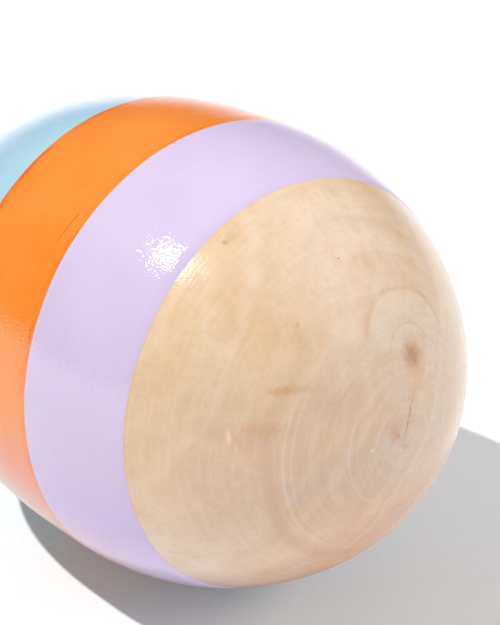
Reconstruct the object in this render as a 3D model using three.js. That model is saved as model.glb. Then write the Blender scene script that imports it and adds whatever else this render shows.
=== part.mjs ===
// Wooden egg shaker: two turned half shells glued together at the widest plane, three painted
// bands over them, and a pool of steel pellets sealed in the chamber.
// Millimetres, +Z up. +X runs along the egg's axis towards its blunt end. The origin is the point
// where the egg touches the table, under the middle of its widest part.
import * as THREE from 'three';

// Turned outside
const DIAMETER = 45.8; // bare wood at the widest part
const BLUNT_LENGTH = 28.4; // from the widest plane to the blunt end
const NARROW_LENGTH = 37.1; // from the widest plane to the narrow end
const BLUNT_FULLNESS = 1.94; // 2 would be half an ellipsoid, a larger value is fuller
const NARROW_FULLNESS = 2.19;
const LAND = 3; // straight run at the widest part, on which the egg rests
const FACETS = 40; // sides of every turned piece, a multiple of four
const STEP = THREE.MathUtils.degToRad(10); // angle between turned rings along the profile

// Hollow and glued joint
const WALL = 5; // at the widest part
const END_WALL = 6.5; // at both ends
const SPIGOT_LENGTH = 4; // ring of the narrow half that enters the blunt half
const SPIGOT_WALL = 2.3;
const SPIGOT_CHAMFER = 0.5; // leads the spigot into its socket
const GLUE_GAP = 0.2; // round the spigot and past its end

// Paint
const COAT = 0.12; // film thickness
const COAT_SEAT = 0.02; // between film and wood
const LILAC_EDGE = 14.05; // wood to lilac, measured from the widest plane
const ORANGE_EDGE = 3.05; // lilac to orange
const BLUE_EDGE = -9.55; // orange to blue, which runs on to the narrow end

// Pellets, in staggered rows on the chamber floor
const PELLET_DIAMETER = 4;
const PELLET_GAP = 0.3; // to the chamber wall and between neighbours
const PELLET_ROWS = 6;
const PELLETS_ACROSS = 5; // in the long rows, one fewer in the rows between
const POOL_CENTRE = -2; // along the axis

const RADIUS = DIAMETER / 2;
const CHAMBER_RADIUS = RADIUS - WALL;
const CHAMBER_BLUNT = BLUNT_LENGTH - END_WALL;
const CHAMBER_NARROW = NARROW_LENGTH - END_WALL;
const SPIGOT_RADIUS = CHAMBER_RADIUS + SPIGOT_WALL;
const SOCKET_RADIUS = SPIGOT_RADIUS + GLUE_GAP;
const SOCKET_DEPTH = SPIGOT_LENGTH + GLUE_GAP;
const COAT_TOP = COAT_SEAT + COAT;
const AXIS_HEIGHT = (RADIUS + COAT_TOP) * Math.cos(Math.PI / FACETS);

// Egg profile: the radius at the distance t from the widest plane.
function eggRadius(t, widest, blunt, narrow) {
  const past = Math.max(Math.abs(t) - LAND / 2, 0);
  const run = (t > 0 ? blunt : narrow) - LAND / 2;
  const power = t > 0 ? BLUNT_FULLNESS : NARROW_FULLNESS;
  return widest * Math.sqrt(Math.max(1 - (past / run) ** power, 0));
}
const outside = (t) => eggRadius(t, RADIUS, BLUNT_LENGTH, NARROW_LENGTH);
const chamber = (t) => eggRadius(t, CHAMBER_RADIUS, CHAMBER_BLUNT, CHAMBER_NARROW);

// Positions of the turned rings: every given edge, and rings between them at about one step.
function rings(edges, blunt, narrow) {
  const toAngle = (t) => Math.asin(t / (t > 0 ? blunt : narrow));
  const toPosition = (a) => Math.sin(a) * (a > 0 ? blunt : narrow);
  const sorted = [...edges].sort((a, b) => b - a);
  const list = [sorted[0]];
  for (let i = 1; i < sorted.length; i++) {
    const from = toAngle(sorted[i - 1]);
    const to = toAngle(sorted[i]);
    const count = Math.max(1, Math.round((from - to) / STEP));
    for (let k = 1; k < count; k++) list.push(toPosition(from + ((to - from) * k) / count));
    list.push(sorted[i]);
  }
  return list;
}
const outerRings = rings(
  [BLUNT_LENGTH, LILAC_EDGE, ORANGE_EDGE, LAND / 2, 0, -LAND / 2, BLUE_EDGE, -NARROW_LENGTH],
  BLUNT_LENGTH, NARROW_LENGTH);
const bluntChamberRings = rings([SOCKET_DEPTH, CHAMBER_BLUNT], CHAMBER_BLUNT, CHAMBER_NARROW);
const narrowChamberRings = rings(
  [SPIGOT_LENGTH, LAND / 2, -LAND / 2, -CHAMBER_NARROW], CHAMBER_BLUNT, CHAMBER_NARROW);
const ringsBetween = (high, low) => outerRings.filter((t) => t <= high && t >= low);

// A turned solid from a profile of [radius, position] pairs that starts and ends on the axis or
// closes on itself. The profile is put in the order that makes the faces point outwards.
function turned(profile) {
  let area = 0;
  profile.forEach(([r, t], i) => {
    const [nextR, nextT] = profile[(i + 1) % profile.length];
    area += r * nextT - nextR * t;
  });
  const points = (area > 0 ? profile : [...profile].reverse()).map(([r, t]) => new THREE.Vector2(r, t));
  // Half a facet of turn puts a flat facet at the very bottom.
  return new THREE.LatheGeometry(points, FACETS, Math.PI / FACETS, 2 * Math.PI);
}

const onOutside = (t) => [outside(t), t];
const inChamber = (t) => [chamber(t), t];
// The outside grown by a small height, with rings that match those of the wood below.
const above = (height) => (t) => [
  outside(t) * (1 + height / RADIUS),
  t * (1 + height / (t > 0 ? BLUNT_LENGTH : NARROW_LENGTH)),
];

// Blunt half: outside, rim, socket, then back along the chamber.
function bluntShell() {
  return turned([
    ...ringsBetween(BLUNT_LENGTH, 0).map(onOutside),
    [SOCKET_RADIUS, 0],
    [SOCKET_RADIUS, SOCKET_DEPTH],
    ...[...bluntChamberRings].reverse().map(inChamber),
  ]);
}

// Narrow half: chamber, spigot, shoulder, then back along the outside.
function narrowShell() {
  return turned([
    ...[...narrowChamberRings].reverse().map(inChamber),
    [SPIGOT_RADIUS - SPIGOT_CHAMFER, SPIGOT_LENGTH],
    [SPIGOT_RADIUS, SPIGOT_LENGTH - SPIGOT_CHAMFER],
    [SPIGOT_RADIUS, 0],
    ...ringsBetween(0, -NARROW_LENGTH).map(onOutside),
  ]);
}

// A paint film from one edge to the other: a ring, or a cap where it runs on to the narrow end.
function coat(high, low) {
  const list = ringsBetween(high, low);
  const top = list.map(above(COAT_TOP));
  const seat = [...list].reverse().map(above(COAT_SEAT));
  return turned(low > -NARROW_LENGTH ? [...top, ...seat, top[0]] : [...seat, ...top]);
}

// How far from the axis a pellet's centre lies when it rests on the chamber floor.
function seatRadius(t) {
  const reach = PELLET_DIAMETER / 2 + PELLET_GAP;
  const clearance = (rho) => {
    let least = Infinity;
    for (let i = -200; i <= 200; i++) {
      const at = t + (reach * 1.5 * i) / 200;
      least = Math.min(least, Math.hypot(at - t, chamber(at) - rho));
    }
    return least - reach;
  };
  let low = 0;
  let high = chamber(t);
  for (let i = 0; i < 40; i++) {
    const middle = (low + high) / 2;
    if (clearance(middle) > 0) low = middle;
    else high = middle;
  }
  return low;
}

function pelletPlaces() {
  const pitch = PELLET_DIAMETER + PELLET_GAP;
  const rowPitch = pitch * Math.cos(Math.PI / 6);
  const places = [];
  for (let row = 0; row < PELLET_ROWS; row++) {
    const t = POOL_CENTRE + (row - (PELLET_ROWS - 1) / 2) * rowPitch;
    const rho = seatRadius(t);
    const count = PELLETS_ACROSS - (row % 2);
    for (let k = 0; k < count; k++) {
      const y = (k - (count - 1) / 2) * pitch;
      places.push([t, y, AXIS_HEIGHT - Math.sqrt(rho * rho - y * y)]);
    }
  }
  return places;
}

const finish = (color, roughness, metalness = 0) =>
  new THREE.MeshStandardMaterial({ color, roughness, metalness });

const part = new THREE.Group();
part.name = 'egg_shaker';

const egg = new THREE.Group();
egg.name = 'egg';
egg.rotation.z = -Math.PI / 2;
egg.position.z = AXIS_HEIGHT;
part.add(egg);

function addTurned(name, geometry, material) {
  const mesh = new THREE.Mesh(geometry, material);
  mesh.name = name;
  egg.add(mesh);
}
addTurned('blunt_shell', bluntShell(), finish('#e4c9aa', 0.5));
addTurned('narrow_shell', narrowShell(), finish('#e4c9aa', 0.5));
addTurned('lilac_coat', coat(LILAC_EDGE, ORANGE_EDGE), finish('#e2d2ee', 0.28));
addTurned('orange_coat', coat(ORANGE_EDGE, BLUE_EDGE), finish('#fe9b43', 0.28));
addTurned('blue_coat', coat(BLUE_EDGE, -NARROW_LENGTH), finish('#b8dcea', 0.28));

pelletPlaces().forEach((place, i) => {
  const pellet = new THREE.Mesh(
    new THREE.IcosahedronGeometry(PELLET_DIAMETER / 2, 2), finish('#b9bcc0', 0.25, 1));
  pellet.name = `pellet_${String(i + 1).padStart(2, '0')}`;
  pellet.position.set(...place);
  part.add(pellet);
});

export default part;
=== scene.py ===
import math

import bmesh
import bpy
from mathutils import Matrix, Vector


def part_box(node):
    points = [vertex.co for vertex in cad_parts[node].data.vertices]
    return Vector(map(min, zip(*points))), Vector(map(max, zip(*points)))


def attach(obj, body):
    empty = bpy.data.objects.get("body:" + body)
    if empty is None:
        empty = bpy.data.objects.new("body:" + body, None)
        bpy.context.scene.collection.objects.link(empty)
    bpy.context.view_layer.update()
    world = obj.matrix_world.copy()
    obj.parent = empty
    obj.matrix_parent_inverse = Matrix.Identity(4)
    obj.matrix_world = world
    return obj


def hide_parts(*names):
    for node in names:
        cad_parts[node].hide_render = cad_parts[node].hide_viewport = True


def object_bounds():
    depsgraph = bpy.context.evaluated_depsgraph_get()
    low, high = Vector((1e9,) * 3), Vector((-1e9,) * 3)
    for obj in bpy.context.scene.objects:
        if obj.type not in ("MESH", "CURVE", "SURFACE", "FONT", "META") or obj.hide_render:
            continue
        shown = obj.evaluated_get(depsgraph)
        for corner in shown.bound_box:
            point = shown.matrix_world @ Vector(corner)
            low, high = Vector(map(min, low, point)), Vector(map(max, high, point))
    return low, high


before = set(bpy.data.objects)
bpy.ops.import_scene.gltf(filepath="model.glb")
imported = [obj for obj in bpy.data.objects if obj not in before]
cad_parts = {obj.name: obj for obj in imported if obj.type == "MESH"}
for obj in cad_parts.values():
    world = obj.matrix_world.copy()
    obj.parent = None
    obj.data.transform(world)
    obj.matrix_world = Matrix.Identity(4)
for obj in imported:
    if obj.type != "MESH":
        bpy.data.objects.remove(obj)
cad_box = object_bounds()

# Sizes of the turned egg in millimetres, as in the solids. Positions run along +X from the widest plane.
RADIUS, BLUNT, NARROW = 22.9, 28.4, 37.1
BLUNT_FULLNESS, NARROW_FULLNESS, LAND = 1.94, 2.19, 3.0
WALL, END_WALL = 5.0, 6.5
SPIGOT_LENGTH, SPIGOT_WALL, SPIGOT_CHAMFER, GLUE_GAP = 4.0, 2.3, 0.5, 0.2
COAT, COAT_SEAT = 0.12, 0.02
LILAC_EDGE, ORANGE_EDGE, BLUE_EDGE = 14.05, 3.05, -9.55
# How a free paint edge thins out: the distance back from the edge, and the share of the film there.
FEATHER = ((0.06, 0.10), (0.22, 0.40), (0.50, 0.75), (0.90, 1.0))
# Seeds for the stray course of each band's edge towards the blunt end.
LILAC_STRAY, ORANGE_STRAY, BLUE_STRAY = 0.7, 2.1, 3.9
PELLET_RADIUS, FLAT_DEPTH = 2.0, 0.012
MM = 0.001

# The axis lies half way up the box. The smooth egg is as large as fits inside the faceted one.
AXIS = (cad_box[0].z + cad_box[1].z) / 2 / MM
FIT = AXIS / (RADIUS + COAT + COAT_SEAT)
SEGMENTS = 240  # round the axis
SHARP = math.radians(35)  # an edge that bends more isn't smoothed


def egg(t, widest, blunt, narrow):
    past = max(abs(t) - LAND / 2, 0.0)
    run = (blunt if t > 0 else narrow) - LAND / 2
    power = BLUNT_FULLNESS if t > 0 else NARROW_FULLNESS
    return widest * math.sqrt(max(1 - (past / run) ** power, 0.0))


def outside(t):
    return egg(t, RADIUS, BLUNT, NARROW)


def chamber(t):
    return egg(t, RADIUS - WALL, BLUNT - END_WALL, NARROW - END_WALL)


def above(t, height):
    """A point of the outside, grown by a small height, as (radius, position)."""
    length = BLUNT if t > 0 else NARROW
    return outside(t) * (1 + height / RADIUS) * FIT, t * (1 + height / length)


def steps(start, end, length, count):
    """Positions from start to end that lie closer together towards the pole at the given length."""
    a, b = math.asin(start / length), math.asin(end / length)
    return [math.sin(a + (b - a) * i / count) * length for i in range(count + 1)]


def wobble(seed, angle):
    """How far a hand-held brush strays from a true circle."""
    return (0.055 * math.sin(2 * angle + seed) + 0.035 * math.sin(5 * angle + 2.3 * seed)
            + 0.018 * math.sin(11 * angle + 4.1 * seed) + 0.010 * math.sin(23 * angle + 1.7 * seed))


def add_object(name, bm):
    """A smooth object in the scene from a finished mesh."""
    for f in bm.faces:
        f.smooth = True
    mesh = bpy.data.meshes.new(name)
    bm.to_mesh(mesh)
    bm.free()
    obj = bpy.data.objects.new(name, mesh)
    bpy.context.scene.collection.objects.link(obj)
    return obj


def turned(name, rows, loop):
    """A turned mesh. Each row is a function of the angle that gives (radius, position). With loop the
    rows close on themselves, and otherwise the first and last row are points on the axis."""
    bm = bmesh.new()
    rings = []
    for i, row in enumerate(rows):
        if not loop and i in (0, len(rows) - 1):
            rings.append([bm.verts.new((row(0.0)[1] * MM, 0, AXIS * MM))])
            continue
        ring = []
        for k in range(SEGMENTS):
            angle = 2 * math.pi * k / SEGMENTS
            r, t = row(angle)
            y, z = r * math.cos(angle), AXIS + r * math.sin(angle)
            ring.append(bm.verts.new((t * MM, y * MM, z * MM)))
        rings.append(ring)
    pairs = list(zip(rings, rings[1:] + rings[:1])) if loop else list(zip(rings, rings[1:]))
    for low, high in pairs:
        for k in range(SEGMENTS):
            n = (k + 1) % SEGMENTS
            if len(low) == 1:
                bm.faces.new((low[0], high[n], high[k]))
            elif len(high) == 1:
                bm.faces.new((low[k], low[n], high[0]))
            else:
                bm.faces.new((low[k], low[n], high[n], high[k]))
    bmesh.ops.recalc_face_normals(bm, faces=bm.faces)
    for e in bm.edges:
        if len(e.link_faces) == 2 and e.calc_face_angle() > SHARP:
            e.smooth = False
    return add_object(name, bm)


def fixed(r, t):
    return lambda angle: (r, t)


def on_wood(t):
    r = outside(t) * FIT
    return lambda angle: (r, t)


def in_chamber(t):
    r = chamber(t)
    return lambda angle: (r, t)


def on_coat(t, height, seed=None):
    """A ring of a paint film. With a seed it is an edge, which strays a little."""
    if seed is None:
        p = above(t, height)
        return lambda angle: p
    return lambda angle: above(t + wobble(seed, angle), height)


# Both shells are whole turned cups with their socket and spigot, although the paint hides the joint.
chamber_radius = RADIUS - WALL
spigot = chamber_radius + SPIGOT_WALL
socket = spigot + GLUE_GAP
blunt_rows = [on_wood(t) for t in steps(BLUNT, 0, BLUNT, 64)]
blunt_rows += [fixed(socket, 0), fixed(socket, SPIGOT_LENGTH + GLUE_GAP)]
chamber_end = BLUNT - END_WALL
blunt_rows += [in_chamber(t) for t in steps(SPIGOT_LENGTH + GLUE_GAP, chamber_end, chamber_end, 24)]
blunt_wood = turned("blunt_wood", blunt_rows, False)

narrow_rows = [on_wood(t) for t in steps(-NARROW, 0, NARROW, 40)]
narrow_rows += [fixed(spigot, 0), fixed(spigot, SPIGOT_LENGTH - SPIGOT_CHAMFER),
                fixed(spigot - SPIGOT_CHAMFER, SPIGOT_LENGTH)]
narrow_rows += [in_chamber(t) for t in (SPIGOT_LENGTH, 2.5, LAND / 2, -LAND / 2)]
narrow_rows += [in_chamber(t) for t in steps(-LAND, -(NARROW - END_WALL), NARROW - END_WALL, 28)]
narrow_wood = turned("narrow_wood", narrow_rows, False)


def band(name, high, low, high_seed, low_seed, count, free_high=False):
    """A paint film between two edges. A free edge thins out over its last millimetre."""
    top = COAT + COAT_SEAT
    rows = []
    if free_high:
        # The very edge dips just under the wood.
        rows.append(on_coat(high + 0.06, -0.04, high_seed))
        rows += [on_coat(high - back, share * top, high_seed) for back, share in FEATHER]
    else:
        rows += [on_coat(high, COAT_SEAT, high_seed), on_coat(high, top, high_seed)]
    inner = [high + (low - high) * i / count for i in range(1, count)]
    # A ring too near an edge would cross its stray course.
    inner = [t for t in inner if high - t > 1.05 and t - low > 0.25]
    rows += [on_coat(t, top) for t in inner]
    rows += [on_coat(low, top, low_seed), on_coat(low, COAT_SEAT, low_seed)]
    rows += [on_coat(t, COAT_SEAT) for t in reversed(inner)]
    return turned(name, rows, True)


lilac_paint = band("lilac_paint", LILAC_EDGE, ORANGE_EDGE, LILAC_STRAY, ORANGE_STRAY, 26, True)
orange_paint = band("orange_paint", ORANGE_EDGE, BLUE_EDGE, ORANGE_STRAY, BLUE_STRAY, 28)
cap = steps(BLUE_EDGE, -NARROW, NARROW, 44)
blue_rows = [on_coat(t, COAT_SEAT) for t in reversed(cap[1:])]
blue_rows += [on_coat(BLUE_EDGE, height, BLUE_STRAY) for height in (COAT_SEAT, COAT + COAT_SEAT)]
blue_rows += [on_coat(t, COAT + COAT_SEAT) for t in cap[1:]]
blue_paint = turned("blue_paint", blue_rows, False)


def ball(name, centre):
    """A ground steel ball with the faint flats that grinding leaves."""
    bm = bmesh.new()
    bmesh.ops.create_icosphere(bm, subdivisions=4, radius=PELLET_RADIUS)
    for v in bm.verts:
        n = v.co.normalized()
        flats = math.sin(9 * n.x + 5 * n.y) * math.sin(7 * n.z - 3 * n.x)
        v.co = n * (PELLET_RADIUS - FLAT_DEPTH * (0.5 + 0.5 * flats))
        v.co = v.co * MM + centre
    return add_object(name, bm)


class Graph:
    """Short names for the nodes of one tree."""

    def __init__(self, tree):
        self.tree = tree
        self.tree.nodes.clear()

    def add(self, kind, **values):
        node = self.tree.nodes.new(kind)
        for key, value in values.items():
            setattr(node, key, value)
        return node

    def put(self, socket, value):
        if isinstance(value, bpy.types.NodeSocket):
            self.tree.links.new(value, socket)
        elif value is not None:
            socket.default_value = value

    def math(self, op, a, b=None, c=None):
        node = self.add("ShaderNodeMath", operation=op)
        for i, value in enumerate((a, b, c)):
            self.put(node.inputs[i], value)
        return node.outputs[0]

    def vector(self, op, a, b=None):
        node = self.add("ShaderNodeVectorMath", operation=op)
        self.put(node.inputs[0], a)
        if op == "SCALE":
            self.put(node.inputs[3], b)
        else:
            self.put(node.inputs[1], b)
        return node.outputs[1] if op in ("LENGTH", "DOT_PRODUCT") else node.outputs[0]

    def split(self, v):
        node = self.add("ShaderNodeSeparateXYZ")
        self.put(node.inputs[0], v)
        return node.outputs

    def join(self, x, y, z):
        node = self.add("ShaderNodeCombineXYZ")
        for i, value in enumerate((x, y, z)):
            self.put(node.inputs[i], value)
        return node.outputs[0]

    def noise(self, v, scale, detail=2.0, rough=0.5, color=False):
        node = self.add("ShaderNodeTexNoise")
        self.put(node.inputs["Vector"], v)
        for key, value in (("Scale", scale), ("Detail", detail), ("Roughness", rough)):
            self.put(node.inputs[key], value)
        return node.outputs["Color" if color else "Fac"]

    def noise1(self, w, scale, detail=2.0, rough=0.5):
        node = self.add("ShaderNodeTexNoise", noise_dimensions="1D")
        self.put(node.inputs["W"], w)
        for key, value in (("Scale", scale), ("Detail", detail), ("Roughness", rough)):
            self.put(node.inputs[key], value)
        return node.outputs["Fac"]

    def cells(self, v, scale):
        node = self.add("ShaderNodeTexVoronoi")
        self.put(node.inputs["Vector"], v)
        self.put(node.inputs["Scale"], scale)
        return node.outputs["Distance"], node.outputs["Color"]

    def span(self, value, a, b, c=0.0, d=1.0, smooth=False):
        node = self.add("ShaderNodeMapRange", interpolation_type="SMOOTHSTEP" if smooth else "LINEAR")
        for i, x in enumerate((value, a, b, c, d)):
            self.put(node.inputs[i], x)
        return node.outputs[0]

    def ramp(self, value, stops, smooth=False):
        node = self.add("ShaderNodeValToRGB")
        node.color_ramp.interpolation = "EASE" if smooth else "LINEAR"
        points = node.color_ramp.elements
        while len(points) < len(stops):
            points.new(0.5)
        for point, (at, color) in zip(points, stops):
            point.position = at
            point.color = color
        self.put(node.inputs[0], value)
        return node.outputs[0]

    def mix(self, fac, a, b):
        node = self.add("ShaderNodeMix", data_type="RGBA")
        self.put(node.inputs[0], fac)
        self.put(node.inputs[6], a)
        self.put(node.inputs[7], b)
        return node.outputs[2]

    def bump(self, height, distance):
        node = self.add("ShaderNodeBump")
        node.inputs["Strength"].default_value = 1.0
        node.inputs["Distance"].default_value = distance
        self.put(node.inputs["Height"], height)
        return node.outputs[0]

    def place(self):
        """Millimetres from the middle of the widest plane, so the egg's axis is x."""
        coord = self.add("ShaderNodeTexCoord").outputs["Object"]
        return self.vector("SUBTRACT", self.vector("SCALE", coord, 1 / MM), (0, 0, AXIS))


def surface(name):
    """The nodes of a new material, with its shader."""
    material = bpy.data.materials.new(name)
    material.use_nodes = True
    g = Graph(material.node_tree)
    g.material = material
    g.shader = g.add("ShaderNodeBsdfPrincipled")
    g.put(g.add("ShaderNodeOutputMaterial").inputs[0], g.shader.outputs[0])
    return g


def srgb(r, g, b):
    """A colour written in the usual 0 to 255 steps."""
    def one(c):
        c /= 255
        return c / 12.92 if c <= 0.04045 else ((c + 0.055) / 1.055) ** 2.4
    return (one(r), one(g), one(b), 1.0)


def grey(x):
    return (x, x, x, 1.0)


def spot(g, p, centre, size, noise, amount):
    """1 at a point and 0 beyond its size in millimetres, given for each axis. Noise frays its edge."""
    away = g.vector("LENGTH", g.vector("DIVIDE", g.vector("SUBTRACT", p, centre), size))
    frayed = g.math("ADD", away, g.math("MULTIPLY", g.math("SUBTRACT", noise, 0.5), amount))
    return g.span(frayed, 1.0, 0.0, 0.0, 1.0, smooth=True)


def sway(g, value, drift, amount):
    """A value that strays by up to half the amount."""
    return g.math("ADD", value, g.math("MULTIPLY", g.split(drift)[0], amount))


def ridge(g, value, at, width, fine):
    """1 along one line of a field and 0 a width away, with a slightly uneven course."""
    strayed = g.math("ADD", value, g.math("MULTIPLY", g.split(fine)[1], width * 1.2))
    return g.span(g.math("ABSOLUTE", g.math("SUBTRACT", strayed, at)), width, 0.0, 0.0, 1.0, smooth=True)


# Natural wood. The blunt end shows end grain: rings run round the pith, which meets the surface above
# the pole, and turning has left fine circles round the egg's own axis.
PITH = (26.7, 1.76, 7.41)
FACED = 11.3  # radius of the circle in which the end was faced
CRACK_HALF = 0.045


def drifts(g, p):
    """A slow and a fine wandering, as vectors round zero."""
    slow = g.vector("SUBTRACT", g.noise(p, 0.085, 2.0, 0.45, color=True), (0.5, 0.5, 0.5))
    fine = g.vector("SUBTRACT", g.noise(p, 0.42, 2.0, 0.45, color=True), (0.5, 0.5, 0.5))
    return slow, fine


def growth_rings(g, p, slow, fine):
    """Rings round the pith, which bend more the further out they lie."""
    q = g.vector("SUBTRACT", p, PITH)
    _, qy, qz = g.split(q)
    near = g.vector("LENGTH", g.join(0.0, qy, qz))
    calm = g.span(near, 1.0, 11.0, 0.12, 1.0, smooth=True)
    shift = g.vector("ADD", g.vector("SCALE", slow, 4.5), g.vector("SCALE", fine, 0.5))
    bent = g.vector("ADD", q, g.vector("SCALE", shift, calm))
    _, by, bz = g.split(bent)
    ring = g.vector("LENGTH", g.join(0.0, by, bz))
    # Colour across the rings, from the pith outwards, with the late wood lines that show most.
    tone = g.ramp(g.math("DIVIDE", ring, 30.0), [
        (0.000, srgb(214, 180, 146)), (0.040, srgb(229, 204, 178)), (0.078, srgb(233, 210, 184)),
        (0.084, srgb(221, 190, 158)), (0.090, srgb(233, 210, 184)), (0.166, srgb(234, 211, 185)),
        (0.173, srgb(196, 152, 112)), (0.184, srgb(224, 194, 163)), (0.215, srgb(235, 210, 181)),
        (0.252, srgb(222, 190, 157)), (0.262, srgb(236, 211, 181)), (0.302, srgb(236, 210, 179)),
        (0.333, srgb(213, 178, 141)), (0.343, srgb(233, 206, 174)), (0.380, srgb(238, 212, 180)),
        (0.417, srgb(216, 180, 142)), (0.430, srgb(236, 209, 175)), (0.500, srgb(240, 214, 179)),
        (0.600, srgb(239, 211, 172)), (0.640, srgb(233, 202, 160)), (0.680, srgb(240, 212, 173)),
        (0.800, srgb(236, 206, 164)), (1.000, srgb(237, 207, 166))])
    # Narrow rings between the strong ones. All of them read clearly only on the upper side of the pith.
    lines = g.noise1(ring, 1.5, 2.0, 0.5)
    tone = g.mix(g.span(lines, 0.45, 0.75, 0.0, 0.14, smooth=True), tone, srgb(216, 181, 143))
    plain = g.ramp(g.math("DIVIDE", ring, 30.0), [
        (0.000, srgb(229, 203, 176)), (0.250, srgb(227, 199, 170)), (0.500, srgb(230, 200, 165)),
        (1.000, srgb(240, 208, 165))], smooth=True)
    rise = g.math("DIVIDE", qz, g.math("MAXIMUM", near, 0.1))
    rise = g.math("SUBTRACT", rise, g.span(near, 4.0, 10.0, 0.0, 0.38))
    upper = g.span(sway(g, rise, slow, 0.8), 0.15, 0.60, 0.08, 1.0, smooth=True)
    return g.mix(upper, plain, tone)


def casts(g, color, p, slow, fine):
    """Broad changes of colour over the blunt end."""
    x, y, z = g.split(p)
    # The end was faced in a cut of its own. Inside that circle the wood is greyer and pinker, more so towards
    # the bottom. Outside it the wood is golden, more so towards the top and, near the lilac edge, further
    # down.
    r = g.vector("LENGTH", g.join(0.0, y, z))
    faced = g.span(sway(g, r, fine, 0.8), FACED + 0.5, FACED - 0.6)
    dusky = g.math("MULTIPLY", faced, g.span(sway(g, z, slow, 9.0), 8.0, -2.0))
    color = g.mix(g.math("MULTIPLY", dusky, 0.55), color, srgb(213, 182, 164))
    golden = g.math("SUBTRACT", 1.0, faced)
    color = g.mix(g.math("MULTIPLY", golden, g.span(z, -1.0, 8.0, 0.0, 0.35)), color, srgb(244, 209, 160))
    edge = g.math("MULTIPLY", g.span(x, 19.5, 15.0), g.span(z, -8.0, 1.0, 0.0, 0.40))
    color = g.mix(edge, color, srgb(240, 200, 146))
    rosy = g.math("MULTIPLY", golden, g.span(x, 17.5, 21.0))
    rosy = g.math("MULTIPLY", rosy, g.span(z, 4.0, -2.0, 0.0, 0.40))
    color = g.mix(rosy, color, srgb(217, 182, 163))
    # Painted light makes the top over the pith palest, as if lit from above; a little darker half way up the
    # left flank.
    painted_top_light = g.math("MULTIPLY", g.span(y, -8.5, -3.0), g.span(y, 7.0, 4.0))
    painted_top_light = g.math("MULTIPLY", painted_top_light, g.span(z, 8.0, 12.0, 0.0, 0.38))
    color = g.mix(painted_top_light, color, srgb(246, 230, 210))
    flank = g.math("MULTIPLY", g.span(y, -6.0, -10.0), g.span(z, 9.0, 5.0))
    flank = g.math("MULTIPLY", flank, g.span(z, -4.0, 1.0, 0.0, 0.28))
    color = g.mix(flank, color, srgb(204, 160, 124))
    # Painted light: the low side has a warm painted glow of light thrown back from the floor, paler on the
    # left and redder on the right.
    low = g.span(sway(g, z, slow, 12.0), -3.0, -13.0, 0.0, 0.80, smooth=True)
    color = g.mix(low, color, g.mix(g.span(y, -12.0, -4.0), srgb(255, 232, 208), srgb(250, 176, 116)))
    return color


def figure(g, color, p, slow, fine, blot, fibre):
    """Blotches, fibres, mottle, specks, streaks and pores."""
    _, y, z = g.split(p)
    # Blotches of sap and mineral colour.
    color = g.mix(g.span(blot, 0.47, 0.72, 0.0, 0.60, smooth=True), color, srgb(231, 184, 134))
    # Fibres run along the axis, so they are dots on the end and streaks on the sides.
    color = g.mix(g.span(fibre, 0.42, 0.80, 0.0, 0.30), color, srgb(208, 170, 134))
    # Mottle a millimetre or two across, and a few dark specks.
    mottle = g.noise(g.vector("MULTIPLY", p, (0.6, 1, 1)), 0.62, 5.0, 0.68)
    color = g.mix(g.span(mottle, 0.50, 0.72, 0.0, 0.24), color, srgb(246, 229, 209))
    color = g.mix(g.span(mottle, 0.48, 0.30, 0.0, 0.17), color, srgb(213, 172, 137))
    gap, pick = g.cells(p, 0.33)
    fleck = g.math("MULTIPLY", g.span(gap, 0.060, 0.025), g.span(g.split(pick)[0], 0.72, 0.76))
    color = g.mix(g.math("MULTIPLY", fleck, 0.60), color, srgb(164, 112, 78))
    # Wide brushed streaks of a paler cast that cross the end from the upper right to the lower left.
    lean = g.math("ADD", g.math("MULTIPLY", y, 0.87), g.math("MULTIPLY", z, -0.5))
    streak = g.noise1(g.math("ADD", lean, g.math("MULTIPLY", g.split(slow)[2], 6.0)), 0.6, 1.0, 0.5)
    color = g.mix(g.span(streak, 0.45, 0.75, 0.0, 0.22, smooth=True), color, srgb(245, 228, 207))
    moved = g.vector("ADD", p, g.vector("SCALE", fine, 0.8))
    pore, _ = g.cells(g.vector("MULTIPLY", moved, (0.2, 1, 1)), 2.0)
    return g.mix(g.span(pore, 0.14, 0.05, 0.0, 0.26), color, srgb(186, 142, 108))


def turning_circles(g, color, p, fine, blot, tool, along, r):
    """Circles of the turning tool round the axis, plainest on the lower left of the blunt end."""
    _, y, z = g.split(p)
    left = g.span(sway(g, y, fine, 6.0), 3.0, -7.0, 0.0, 1.0, smooth=True)
    left = g.math("MULTIPLY", left, g.span(z, 10.0, 2.0, 0.35, 1.0, smooth=True))
    drawn = g.noise(g.join(along, g.math("MULTIPLY", y, 0.14), g.math("MULTIPLY", z, 0.14)), 1.5, 4.0, 0.6)
    color = g.mix(g.span(drawn, 0.50, 0.74, 0.0, 0.18), color, srgb(248, 233, 213))
    color = g.mix(g.span(drawn, 0.48, 0.28, 0.0, 0.16), color, srgb(210, 168, 128))
    inner = g.math("MULTIPLY", left, g.math("MULTIPLY", g.span(r, 13.2, 11.0), g.span(blot, 0.62, 0.45)))
    color = g.mix(g.math("MULTIPLY", g.span(tool, 0.50, 0.72, 0.0, 0.14), inner), color, srgb(248, 235, 219))
    for at, width, tint, amount in (
            (FACED, 0.16, (250, 238, 223), 0.24), (FACED + 1.1, 0.90, (210, 164, 126), 0.40),
            (10.70, 0.14, (248, 234, 218), 0.20), (9.20, 0.40, (236, 214, 196), 0.22),
            (8.30, 0.26, (206, 168, 142), 0.18), (6.10, 0.20, (246, 230, 212), 0.24),
            (5.50, 0.35, (206, 168, 142), 0.22), (3.60, 0.20, (246, 230, 212), 0.20)):
        line = g.math("MULTIPLY", ridge(g, r, at, width, fine), left)
        color = g.mix(g.math("MULTIPLY", line, amount), color, srgb(*tint))
    return color


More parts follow.
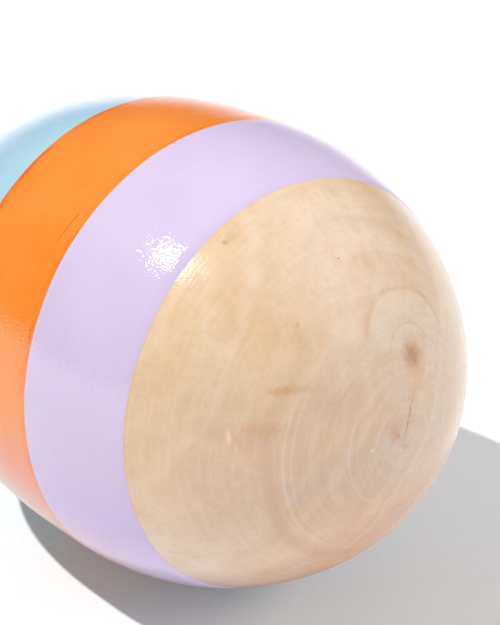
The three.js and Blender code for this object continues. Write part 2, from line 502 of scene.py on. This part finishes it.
def pith_and_crack(g, color, p, speck):
    """The pith, its halo, and the drying crack that runs from it to the pole."""
    x, y, z = g.split(p)
    halo = spot(g, p, (26.8, 2.00, 6.95), (3.0, 1.8, 2.4), speck, 0.6)
    color = g.mix(g.math("MULTIPLY", halo, 0.70), color, srgb(220, 172, 124))
    pith = spot(g, p, (26.72, 1.76, 7.20), (2.2, 1.45, 1.50), speck, 1.2)
    color = g.mix(g.math("MULTIPLY", pith, 0.66), color, srgb(182, 124, 80))
    wander = g.math("MULTIPLY", g.math("SUBTRACT", g.noise1(z, 1.1, 3.0, 0.6), 0.5), 0.55)
    # The crack follows a straight run from the pith towards the pole, straying a little.
    run = g.math("MULTIPLY_ADD", z, 0.391, -0.66)
    off = g.math("ABSOLUTE", g.math("SUBTRACT", g.math("SUBTRACT", y, run), wander))
    crack = g.span(off, 1.4 * CRACK_HALF, 0.5 * CRACK_HALF, 0.0, 1.0, smooth=True)
    ends = g.math("MULTIPLY", g.span(z, 0.4, 1.2, 0.15, 1.0), g.span(z, 4.4, 3.2, 0.15, 1.0))
    ends = g.math("MULTIPLY", ends, g.math("MULTIPLY", g.span(z, -0.6, 0.2), g.span(z, 6.2, 5.4)))
    crack = g.math("MULTIPLY", g.math("MULTIPLY", crack, ends), g.span(x, 20.0, 22.0))
    broken = g.span(g.noise1(z, 2.6, 2.0, 0.6), 0.36, 0.55)
    crack = g.math("MULTIPLY", crack, broken)
    color = g.mix(g.math("MULTIPLY", crack, 0.62), color, srgb(126, 96, 78))
    return color, halo, crack


# Small knots, streaks, torn grain at the pole, pale scuffs and one painted sheen: place, size, colour and
# strength.
WOOD_MARKS = (
    ((15.00, -9.37, 16.97), (0.55, 0.55, 0.40), (176, 116, 64), 0.85),
    ((15.10, -8.60, 17.30), (1.10, 1.40, 0.90), (222, 172, 116), 0.55),
    ((22.54, -7.82, 11.39), (0.35, 0.25, 0.30), (190, 140, 98), 0.60),
    ((22.60, -8.00, 10.00), (2.00, 1.10, 2.60), (216, 168, 120), 0.55),
    ((23.20, -6.40, 9.20), (2.00, 0.90, 2.00), (218, 172, 126), 0.45),
    ((25.30, -2.20, 10.30), (2.00, 0.80, 2.40), (222, 180, 144), 0.40),
    ((23.72, -10.62, 6.54), (1.60, 1.70, 0.55), (220, 164, 106), 0.70),
    ((24.00, -9.60, 6.60), (2.40, 3.60, 0.60), (214, 164, 112), 0.50),
    ((23.35, -12.00, 3.40), (3.00, 3.40, 1.10), (212, 162, 116), 0.55),
    ((23.20, -13.00, 2.80), (3.50, 3.60, 2.20), (202, 154, 116), 0.40),
    ((20.30, -15.60, 3.20), (2.50, 2.50, 2.00), (206, 160, 120), 0.32),
    ((26.30, -6.50, 4.50), (3.00, 5.00, 2.60), (202, 164, 134), 0.32),
    # A painted sheen: this pale patch high on the blunt end stands in for the lacquer's soft reflection.
    ((24.70, -3.70, 10.50), (3.00, 3.00, 3.00), (248, 228, 202), 0.38),
    ((28.31, -1.11, 0.92), (0.40, 0.26, 0.36), (190, 122, 88), 0.60),
    ((28.25, -1.50, 1.20), (0.60, 0.90, 1.30), (218, 150, 112), 0.55),
    ((28.33, -0.20, -0.30), (0.60, 0.80, 0.45), (206, 152, 116), 0.45),
    ((28.20, -1.60, 2.00), (0.90, 1.30, 1.50), (214, 164, 130), 0.50),
    ((28.36, -0.75, -0.55), (0.50, 0.26, 0.40), (244, 228, 214), 0.55),
    ((27.95, -3.88, 0.36), (0.40, 0.22, 0.22), (252, 245, 238), 0.90),
    ((21.46, -14.64, 2.69), (0.90, 0.30, 1.10), (250, 238, 224), 0.60),
    ((21.90, -14.20, 1.60), (0.70, 0.25, 1.00), (246, 230, 212), 0.55),
)


def wood_material(name):
    g = surface(name)
    p = g.place()
    x, y, z = g.split(p)
    slow, fine = drifts(g, p)
    blot = g.noise(g.vector("MULTIPLY", p, (0.5, 1, 1)), 0.17, 3.0, 0.55)
    fibre = g.noise(g.vector("MULTIPLY", p, (0.18, 1, 1)), 2.4, 4.0, 0.66)
    speck = g.noise(p, 2.2, 3.0, 0.6)
    r = g.vector("LENGTH", g.join(0.0, y, z))
    along = g.math("SUBTRACT", r, x)
    tool = g.noise1(along, 3.0, 3.0, 0.6)
    color = growth_rings(g, p, slow, fine)
    color = casts(g, color, p, slow, fine)
    color = figure(g, color, p, slow, fine, blot, fibre)
    color = turning_circles(g, color, p, fine, blot, tool, along, r)
    color, halo, crack = pith_and_crack(g, color, p, speck)
    for centre, size, tint, amount in WOOD_MARKS:
        mask = spot(g, p, centre, size, speck, 0.9)
        color = g.mix(g.math("MULTIPLY", mask, amount), color, srgb(*tint))
    # Paint has soaked into a hair of wood along the lilac edge.
    soak = ridge(g, x, LILAC_EDGE + 0.07, 0.10, fine)
    soak = g.math("MULTIPLY", soak, g.span(y, 0.0, -10.0, 0.0, 0.35))
    color = g.mix(soak, color, srgb(214, 172, 140))
    g.put(g.shader.inputs["Base Color"], color)
    rough = g.span(fibre, 0.3, 0.8, 0.40, 0.56)
    g.put(g.shader.inputs["Roughness"], g.math("SUBTRACT", rough, g.math("MULTIPLY", halo, 0.05)))
    g.shader.inputs["IOR"].default_value = 1.5
    g.shader.inputs["Coat Weight"].default_value = 1.0
    g.shader.inputs["Coat Roughness"].default_value = 0.20
    height = g.math("MULTIPLY_ADD", tool, 0.22, g.math("MULTIPLY", fibre, -0.45))
    height = g.math("MULTIPLY_ADD", g.noise(p, 6.0, 2.0, 0.6), 0.35, height)
    height = g.math("SUBTRACT", height, g.math("MULTIPLY", crack, 2.5))
    normal = g.bump(height, 0.00003)
    g.put(g.shader.inputs["Normal"], normal)
    g.put(g.shader.inputs["Coat Normal"], normal)
    return g.material


def paint_material(name, main, deep, pale, painted_low_light, painted_bottom_light, rims=(), marks=()):
    """Gloss lacquer brushed on while the egg turned: faint brush lines round it, a fine peel that breaks
    up reflections, dust specks and small marks."""
    g = surface(name)
    p = g.place()
    x, _, z = g.split(p)
    cloud = g.noise(p, 0.12, 3.0, 0.5)
    color = g.mix(g.span(cloud, 0.35, 0.70, 0.0, 1.0, smooth=True), main, deep)
    stray = g.math("MULTIPLY", g.noise(p, 0.25, 2.0, 0.5), 0.5)
    brush = g.noise1(g.math("ADD", x, stray), 3.2, 4.0, 0.65)
    color = g.mix(g.span(brush, 0.50, 0.80, 0.0, 0.30), color, pale)
    grain = g.noise(p, 5.0, 2.0, 0.6)
    color = g.mix(g.span(grain, 0.52, 0.78, 0.0, 0.20), color, pale)
    dust, tint = g.cells(p, 0.55)
    chosen = g.span(g.split(tint)[0], 0.93, 0.94)
    dust = g.math("MULTIPLY", g.span(dust, 0.055, 0.03), chosen)
    color = g.mix(g.math("MULTIPLY", dust, 0.5), color, srgb(120, 96, 90))
    # Painted light: the low side is painted with the floor's reflection and the light it throws back, the
    # more so towards the bottom.
    color = g.mix(g.span(z, 0.0, -11.0, 0.0, 1.0, smooth=True), color, painted_low_light)
    color = g.mix(g.span(z, -7.0, -14.0, 0.0, 0.7, smooth=True), color, painted_bottom_light)
    # Paint lies thicker along an edge, in broken strokes.
    broken = g.span(g.noise(g.vector("MULTIPLY", p, (2.5, 0.5, 0.5)), 0.8, 3.0, 0.6), 0.42, 0.66)
    for at, width, shade, amount in rims:
        line = g.span(g.math("ABSOLUTE", g.math("SUBTRACT", x, at)), width, 0.0, 0.0, amount, smooth=True)
        color = g.mix(g.math("MULTIPLY", line, broken), color, srgb(*shade))
    for centre, size, shade, amount in marks:
        mask = spot(g, p, centre, size, grain, 0.8)
        color = g.mix(g.math("MULTIPLY", mask, amount), color, srgb(*shade))
    g.put(g.shader.inputs["Base Color"], color)
    g.put(g.shader.inputs["Roughness"], g.span(grain, 0.3, 0.7, 0.30, 0.40))
    g.shader.inputs["IOR"].default_value = 1.5
    g.shader.inputs["Coat Weight"].default_value = 1.0
    g.shader.inputs["Coat Roughness"].default_value = 0.09
    g.shader.inputs["Coat IOR"].default_value = 1.68
    g.shader.inputs["Specular IOR Level"].default_value = 0.04
    # The gloss coat is rougher in shape than the colour under it.
    peel = g.noise(p, 5.6, 0.0)
    swirl = g.noise1(g.math("ADD", x, stray), 4.2, 0.0)
    height = g.math("MULTIPLY_ADD", swirl, 0.35, peel)
    g.put(g.shader.inputs["Normal"], g.bump(height, 0.000005))
    g.put(g.shader.inputs["Coat Normal"], g.bump(height, 0.000019))
    return g.material


def steel_material(name):
    g = surface(name)
    p = g.place()
    stain = g.noise(p, 0.9, 4.0, 0.6)
    color = g.mix(g.span(stain, 0.4, 0.75), srgb(196, 198, 201), srgb(160, 160, 158))
    g.put(g.shader.inputs["Base Color"], color)
    g.shader.inputs["Metallic"].default_value = 1.0
    g.put(g.shader.inputs["Roughness"], g.span(stain, 0.3, 0.8, 0.16, 0.34))
    g.put(g.shader.inputs["Normal"], g.bump(g.noise(p, 6.0, 3.0, 0.6), 0.000008))
    return g.material


# Strokes along the edges of a band: position, width, colour and strength.
LILAC_RIMS = ((ORANGE_EDGE + 0.25, 0.4, (240, 214, 232), 0.6),)
ORANGE_RIMS = ((BLUE_EDGE + 0.35, 0.8, (238, 92, 24), 0.8), (ORANGE_EDGE - 0.25, 0.6, (240, 104, 24), 0.7))
# Small marks in the paint: place, size, colour and strength.
LILAC_MARKS = (
    ((4.46, -22.57, 2.26), (0.9, 0.3, 0.14), (196, 184, 206), 0.7),
    ((6.77, -20.54, -8.63), (0.22, 0.22, 0.18), (160, 140, 186), 0.7),
    ((11.70, -1.16, 20.81), (0.16, 0.16, 0.16), (150, 120, 160), 0.7),
    ((11.07, 1.54, 21.02), (0.14, 0.14, 0.14), (160, 130, 170), 0.7),
)
SCRATCH = [((1.26 + 0.04 * i, -17.20 + 0.22 * i, 15.23 + 0.22 * i), (0.13, 0.34, 0.34), (196, 84, 28), 0.75)
           for i in range(10)]

wood = wood_material("turned_wood")
lilac = paint_material(
    "lilac_lacquer", main=srgb(222, 205, 234), deep=srgb(216, 199, 230), pale=srgb(230, 216, 241),
    painted_low_light=srgb(222, 202, 250), painted_bottom_light=srgb(238, 219, 255), rims=LILAC_RIMS, marks=LILAC_MARKS)
orange = paint_material(
    "orange_lacquer", main=srgb(255, 149, 58), deep=srgb(255, 140, 42), pale=srgb(255, 160, 76),
    painted_low_light=srgb(255, 143, 102), painted_bottom_light=srgb(255, 184, 166), rims=ORANGE_RIMS, marks=SCRATCH)
blue = paint_material(
    "blue_lacquer", main=srgb(184, 223, 239), deep=srgb(177, 218, 236), pale=srgb(194, 229, 242),
    painted_low_light=srgb(184, 223, 239), painted_bottom_light=srgb(198, 230, 243))
steel = steel_material("ball_steel")


def dress(obj, material, body, slot, *nodes):
    obj.data.materials.append(material)
    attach(obj, body)
    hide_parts(*nodes)


dress(blunt_wood, wood, "egg", "natural_wood", "blunt_shell")
dress(narrow_wood, wood, "egg", "natural_wood", "narrow_shell")
dress(lilac_paint, lilac, "egg", "lilac_paint", "lilac_coat")
dress(orange_paint, orange, "egg", "orange_paint", "orange_coat")
dress(blue_paint, blue, "egg", "blue_paint", "blue_coat")
for node in sorted(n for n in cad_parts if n.startswith("pellet_")):
    low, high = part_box(node)
    dress(ball(node.replace("pellet", "ball"), (low + high) / 2), steel, node, "pellet_steel", node)


def paper_surface(name):
    g = surface(name)
    g.shader.inputs["Roughness"].default_value = 0.9
    g.shader.inputs["Specular IOR Level"].default_value = 0.0
    return g


def seen_paper():
    """White paper with a fine grain. It glows a little near the egg and is plain white far from it, so that
    the sheet has no visible end."""
    g = paper_surface("white_paper")
    p = g.place()
    tooth = g.noise(p, 1.4, 3.0, 0.7)
    g.put(g.shader.inputs["Base Color"], g.ramp(tooth, [(0.3, grey(0.25)), (0.7, grey(0.27))]))
    g.shader.inputs["Emission Color"].default_value = grey(1.0)
    g.put(g.shader.inputs["Emission Strength"], g.span(g.vector("LENGTH", p), 150.0, 500.0, 0.18, 1.0))
    return g.material


def bounce_paper():
    """Paler in the lacquer's reflections than in the light it throws back."""
    g = paper_surface("bounce_paper")
    glossy = g.add("ShaderNodeLightPath").outputs["Is Glossy Ray"]
    g.put(g.shader.inputs["Base Color"], g.mix(glossy, grey(0.66), grey(0.98)))
    return g.material


def square_sheet(name, half, height, material):
    mesh = bpy.data.meshes.new(name)
    corners = [(half * x, half * y, height) for x, y in ((-1, -1), (1, -1), (1, 1), (-1, 1))]
    mesh.from_pydata(corners, [], [(0, 1, 2, 3)])
    mesh.materials.append(material)
    obj = bpy.data.objects.new(name, mesh)
    bpy.context.scene.collection.objects.link(obj)
    return obj


# Floor: white paper that keeps the shadow, seen by the camera alone, over a sheet that throws light back.
floor = square_sheet("floor", 0.8, 0.0, seen_paper())
bounce = square_sheet("bounce", 4.0, -0.0001, bounce_paper())
for ray in ("diffuse", "glossy", "transmission", "volume_scatter", "shadow"):
    setattr(floor, "visible_" + ray, False)
bounce.visible_camera = False
bounce.visible_shadow = False

scene = bpy.context.scene


def towards(azimuth, height):
    """A direction from its angles in degrees, from +X towards +Y and up from the floor."""
    a, h = math.radians(azimuth), math.radians(height)
    return Vector((math.cos(h) * math.cos(a), math.cos(h) * math.sin(a), math.sin(h)))


def sun(name, energy, width, direction):
    """A far lamp that is seen under the given width in degrees."""
    lamp = bpy.data.lights.new(name, "SUN")
    lamp.energy = energy
    lamp.angle = math.radians(width)
    obj = bpy.data.objects.new(name, lamp)
    obj.rotation_euler = direction.to_track_quat("Z", "Y").to_euler()
    scene.collection.objects.link(obj)
    return obj


def near_lamp(name, energy, radius, place):
    """A small lamp whose light keeps its strength with distance."""
    lamp = bpy.data.lights.new(name, "POINT")
    lamp.energy = energy
    lamp.shadow_soft_size = radius
    lamp.use_nodes = True
    nodes = lamp.node_tree.nodes
    steady = nodes.new("ShaderNodeLightFalloff")
    steady.inputs["Strength"].default_value = 1.0
    lamp.node_tree.links.new(steady.outputs["Constant"], nodes["Emission"].inputs["Strength"])
    obj = bpy.data.objects.new(name, lamp)
    obj.location = place
    scene.collection.objects.link(obj)
    return obj


# Lamps: one small key from the upper left. The seen paper has lamps of its own, so that it is white and its
# shadow stays clear: a near lamp that throws the shadow, and a soft low one from the right and behind.
paper_only = bpy.data.collections.new("paper_only")
paper_only.objects.link(floor)
all_but_paper = bpy.data.collections.new("all_but_paper")
all_but_paper.objects.link(floor)
all_but_paper.collection_objects[0].light_linking.link_state = "EXCLUDE"

egg_middle = Vector((0, 0, AXIS * MM))
shadow_place = egg_middle + 0.55 * towards(azimuth=-115.5, height=59.2)
key = sun("key", energy=1.34, width=1.6, direction=towards(azimuth=-101, height=61))
paper_key = near_lamp("paper_key", energy=116.0, radius=0.0075, place=shadow_place)
paper_fill = sun("paper_fill", energy=6.6, width=36, direction=towards(azimuth=58, height=22))
key.light_linking.receiver_collection = all_but_paper
paper_key.light_linking.receiver_collection = paper_only
paper_fill.light_linking.receiver_collection = paper_only

# Room: the fill grows towards the zenith and the right, and is nothing below the floor. Reflections see a low
# white sweep behind the egg and a dim room over it. The camera sees plain white.
FILL_LOW, FILL_HIGH = 0.37, 1.10
FILL_SIDE = (0.8, 0.6, 0.0)
SWEEP_FULL, SWEEP_END = math.sin(math.radians(7.5)), math.sin(math.radians(9))
SWEEP_TINT = (0.95, 0.85, 1.0, 1.0)
DIM_ROOM = 0.05

world = bpy.data.worlds.new("room")
world.use_nodes = True
scene.world = world
room = Graph(world.node_tree)
way = room.add("ShaderNodeTexCoord").outputs["Generated"]
x, y, z = room.split(way)
fill = room.math("MULTIPLY", room.span(z, 0.0, 1.0, FILL_LOW, FILL_HIGH), room.span(z, -0.002, 0.0))
sideways = room.vector("DOT_PRODUCT", way, FILL_SIDE)
fill = room.math("MULTIPLY", fill, room.span(sideways, -1.0, 1.0, 0.80, 1.25))
sweep = room.math("MULTIPLY", room.span(z, SWEEP_FULL, SWEEP_END, 1.0, 0.0), room.span(y, 0.0, 0.4))
sweep = room.math("MULTIPLY", sweep, room.span(x, -0.80, -0.70, 1.0, 0.62))
sweep = room.span(sweep, 0.0, 1.0, DIM_ROOM, 1.0)
ray = room.add("ShaderNodeLightPath").outputs
plain_ray = room.math("MAXIMUM", ray["Is Camera Ray"], ray["Is Transmission Ray"])
level = room.span(ray["Is Glossy Ray"], 0.0, 1.0, fill, sweep)
level = room.span(plain_ray, 0.0, 1.0, level, 1.0)
back = room.add("ShaderNodeBackground")
room.put(back.inputs["Strength"], level)
room.put(back.inputs["Color"], room.mix(ray["Is Glossy Ray"], grey(1.0), SWEEP_TINT))
room.put(room.add("ShaderNodeOutputWorld").inputs[0], back.outputs[0])

# Camera: placed by a fit of the outline and of the band edges, in millimetres from the egg's middle.
CAMERA_PLACE = Vector((118.753, -95.476, 68.079))
CAMERA_RIGHT = Vector((0.65072, 0.75931, 0.0))
CAMERA_FORWARD = Vector((-0.69832, 0.59846, -0.39268))
camera = bpy.data.cameras.new("camera")
camera.lens = 97.23
camera.sensor_width = 36
camera.clip_start = 0.01
camera.clip_end = 50
camera_obj = bpy.data.objects.new("camera", camera)
scene.collection.objects.link(camera_obj)
spin = Matrix((CAMERA_RIGHT, CAMERA_RIGHT.cross(CAMERA_FORWARD), -CAMERA_FORWARD)).transposed().to_4x4()
camera_obj.matrix_world = Matrix.Translation(CAMERA_PLACE * MM + egg_middle) @ spin
scene.camera = camera_obj
scene.view_settings.view_transform = "Standard"
